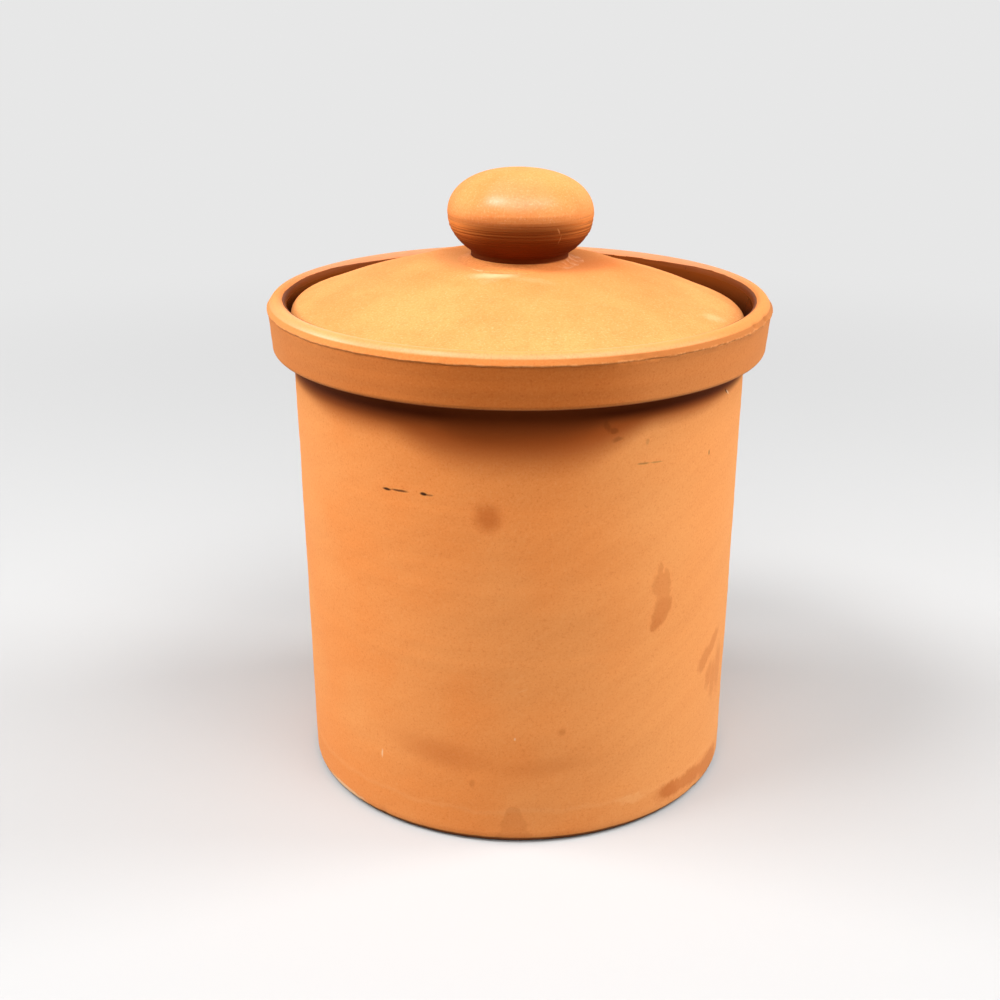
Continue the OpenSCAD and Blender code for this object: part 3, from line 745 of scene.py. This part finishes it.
def luting_slip():
    inner_r = NECK_R + SLIP_GAP
    # From a thin wiped ledge on the lid up to the neck, in a low hollow slope
    ledge_end, ledge_points, slope_points = 0.1, 8, 24
    on_ledge, on_slope = np.linspace(0, ledge_end, ledge_points), np.linspace(ledge_end, 1, slope_points)
    share = np.concatenate([on_ledge, on_slope[1:]])
    rise = KNOB_FOOT_Z - BOSS_Z + SLIP_RISE - SLIP_LEDGE
    ledge = between(share, 0, 0.08)
    height = BOSS_Z - SLIP_EDGE_SUNK + SLIP_LEDGE * ledge + rise * share ** SLIP_HOLLOW
    slope = list(zip(SLIP_OUTER_R + (inner_r - SLIP_OUTER_R) * share, height))
    under = fine([(0, BOSS_Z), (SLIP_OUTER_R, BOSS_Z - SLIP_UNDER_SUNK)], step=3.0)
    layer = fine([(inner_r, KNOB_FOOT_Z), (0, KNOB_FOOT_Z)], step=3.0)
    r, z, turn = turned(joined(under, slope, layer), KNOB_SEGMENTS)
    # Wiped out smooth in front and on the left, left rough on the right
    roughly = SLIP_WIPED + (1 - SLIP_WIPED) * between(np.sin(turn - 0.3), 0.1, 0.8)
    top = between(r, inner_r, inner_r + 0.8) * between(z, BOSS_Z + 0.02, BOSS_Z + 0.22)
    z = z + top * roughly * (waves(turn, r, SLIP_LUMPS) + waves(turn, r, SLIP_CRUMBS) + SLIP_LIFT)
    spread = between(r, inner_r, SLIP_OUTER_R)
    edge = waves(turn, 0 * r, SLIP_RUNS) + roughly * (waves(turn, 0 * r, SLIP_RAGS) + SLIP_BULGE)
    # The film in front runs further out, and is thickest towards its edge
    away = np.sin((turn - FILM_TURN) / 2)
    r = r + spread * (edge + FILM_REACH * hump(away, 0, 0.3))
    pile = (ledge * between(share, 0.6, 0.1))[1:]
    film = np.zeros((len(r), 1))
    film[len(under):len(under) + len(pile), 0] = pile
    z = z + FILM_H * hump(away, 0, 0.2) * film
    piece = make("luting_slip_bead", askew(to_points(r, z, turn)), slip(), "lid")
    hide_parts("luting_slip")


def seal_ring():
    points = [(SLEEVE_R, SLEEVE_Z), (SLEEVE_OUTER_R, SLEEVE_Z)]
    start_r, neck_r, soft_r = SLEEVE_OUTER_R + FIN_START, SLEEVE_OUTER_R + FIN_NECK, FIN_R - FIN_SOFT_R
    for fin in range(FINS):
        root = SLEEVE_Z + fin * FIN_PITCH
        tip = root + FIN_ROOT + FIN_RISE
        points += [
            (start_r, root), (neck_r, root + FIN_FILLET), (soft_r, tip - FIN_TIP - FIN_DROP),
            (FIN_R, tip - FIN_TIP + FIN_SOFT_Z), (FIN_R, tip - FIN_SOFT_Z), (soft_r, tip - FIN_DROP),
            (neck_r, root + FIN_ROOT + FIN_FILLET), (SLEEVE_OUTER_R, root + FIN_ROOT + FIN_END),
        ]
    points += [
        (SLEEVE_OUTER_R, LEDGE_Z - FLANGE_FILLET), (SLEEVE_OUTER_R + FLANGE_FILLET, LEDGE_Z),
        (FLANGE_R - FLANGE_SOFT, LEDGE_Z), (FLANGE_R, LEDGE_Z + FLANGE_SOFT),
        (FLANGE_R, SEAT_Z - FLANGE_SOFT), (FLANGE_R - FLANGE_SOFT, SEAT_Z),
        (SLEEVE_R, SEAT_Z), (SLEEVE_R, SLEEVE_Z + 0.6),
    ]
    r, z, turn = turned(joined(fine(points, step=0.8)), SEAL_SEGMENTS)
    piece = make("seal", to_points(r, z, turn), seal(), "seal", ring=True)
    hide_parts("seal_ring")


# Stage, light and camera, with lengths in metres, apart from the camera's place

FLOOR_HALF = 30.0
FLOOR_BOUNCE, FLOOR_SEEN, FAR_SEEN = 0.25, 0.5, 0.8
FADE_START, FADE_END = 0.16, 0.9
WHITE = (1, 1, 1, 1)


def stage():
    """A pale floor that keeps the object's shadow and fades, to the camera, into an even pale background."""
    mesh = bpy.data.meshes.new("floor")
    corners = [(x * FLOOR_HALF, y * FLOOR_HALF, 0) for x, y in ((-1, -1), (1, -1), (1, 1), (-1, 1))]
    mesh.from_pydata(corners, [], [(0, 1, 2, 3)])
    floor = bpy.data.objects.new("floor", mesh)
    bpy.context.scene.collection.objects.link(floor)
    paint = Paint("floor")
    path = paint.add("ShaderNodeLightPath").outputs
    seen = paint.math("ADD", path["Is Camera Ray"], path["Is Glossy Ray"], clamp=True)
    seen = paint.math("ADD", seen, path["Is Transmission Ray"], clamp=True)
    shade = paint.add("ShaderNodeMapRange", seen, 0.0, 1.0, FLOOR_BOUNCE, FLOOR_SEEN).outputs[0]
    matt = paint.add("ShaderNodeBsdfDiffuse", shade).outputs[0]
    glow = paint.add("ShaderNodeEmission", None, FAR_SEEN).outputs[0]
    far = paint.both(paint.between(paint.radius, FADE_START / MM, FADE_END / MM), seen)
    faded = paint.add("ShaderNodeMixShader", far, matt, glow).outputs[0]
    paint.put(faded, paint.tree.nodes["Material Output"].inputs["Surface"])
    mesh.materials.append(paint.material)


# name, azimuth, elevation, size, level
# At level 1 a surface that faces the lamp renders as its colour is written
LIGHTS = [
    ("left_side", -96, 26, 0.7, 0.68),
    ("right_side", 96, 26, 0.7, 0.76),
    ("left_high", -62, 58, 0.55, 0.56),
    ("right_high", 54, 57, 0.8, 0.36),
    ("front", 4, 52, 1.6, 0.78),
]
AIM, LIGHT_DISTANCE = Vector((0, 0, 0.12)), 1.6
WORLD_LIGHT = 0.05


def light():
    for name, azimuth, elevation, size, level in LIGHTS:
        a, e = math.radians(azimuth), math.radians(elevation)
        away = Vector((math.sin(a) * math.cos(e), -math.cos(a) * math.cos(e), math.sin(e)))
        lamp = bpy.data.lights.new(name, "AREA")
        lamp.shape, lamp.size, lamp.energy = "DISK", size, level * (math.pi * LIGHT_DISTANCE) ** 2
        holder = bpy.data.objects.new(name, lamp)
        holder.location = AIM + away * LIGHT_DISTANCE
        holder.rotation_euler = away.to_track_quat("Z", "Y").to_euler()
        bpy.context.scene.collection.objects.link(holder)
    # The room lights faintly, and shows as the even pale background
    world = bpy.data.worlds.new("room")
    bpy.context.scene.world = world
    world.use_nodes = True
    nodes, links = world.node_tree.nodes, world.node_tree.links
    path = nodes.new("ShaderNodeLightPath").outputs
    seen = path["Is Camera Ray"]
    for other in ("Is Glossy Ray", "Is Transmission Ray"):
        either = nodes.new("ShaderNodeMath")
        either.use_clamp = True
        links.new(seen, either.inputs[0])
        links.new(path[other], either.inputs[1])
        seen = either.outputs[0]
    level = nodes.new("ShaderNodeMapRange")
    level.inputs["To Min"].default_value = WORLD_LIGHT
    level.inputs["To Max"].default_value = FAR_SEEN
    links.new(seen, level.inputs["Value"])
    nodes["Background"].inputs["Color"].default_value = WHITE
    links.new(level.outputs[0], nodes["Background"].inputs["Strength"])


# From the edges in the photo: place in millimetres, pitch in radians, and focal length in pixels
CAMERA_PLACE, CAMERA_PITCH = (-6.47, -479.07, 274.1), 0.3612
FOCAL_PIXELS, FRAME_PIXELS = 1436.9, 1000
SENSOR_WIDTH, CLIP_START, CLIP_END = 36, 0.01, 100


def camera():
    data = bpy.data.cameras.new("camera")
    data.sensor_width = SENSOR_WIDTH
    data.lens = SENSOR_WIDTH * FOCAL_PIXELS / FRAME_PIXELS
    data.clip_start, data.clip_end = CLIP_START, CLIP_END
    holder = bpy.data.objects.new("camera", data)
    holder.location = Vector(CAMERA_PLACE) * MM
    holder.rotation_euler = (math.pi / 2 - CAMERA_PITCH, 0, 0)
    bpy.context.scene.collection.objects.link(holder)
    bpy.context.scene.camera = holder


camera()
stage()
light()
jar_body()
inner_glaze()
seal_ring()
lid_clay = lid_terracotta()
lid(lid_clay)
knob(lid_clay)
luting_slip()
bpy.context.scene.view_settings.view_transform = "Standard"
